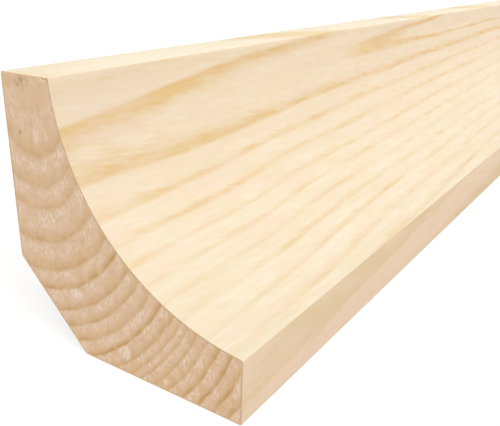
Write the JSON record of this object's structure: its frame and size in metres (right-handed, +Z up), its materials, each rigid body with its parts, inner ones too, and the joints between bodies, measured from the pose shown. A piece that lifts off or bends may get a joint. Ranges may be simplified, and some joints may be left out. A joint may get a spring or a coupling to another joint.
{
  "type": "skirting board",
  "caption": "Straight length of planed softwood cove skirting with a hollow front face, narrow lands at top and front, and a planed-off back corner.",
  "frame": {"origin": "middle of the footprint, on the floor that the board stands on", "axes": "+X along the length, +Y towards the wall behind the board, +Z up; the cove faces -Y"},
  "size_m": [2.4, 0.038, 0.038],
  "materials": {
    "planed_pine": "planed, unfinished"
  },
  "bodies": {
    "root": {"skirting_board": "planed_pine"}
  },
  "joints": []
}
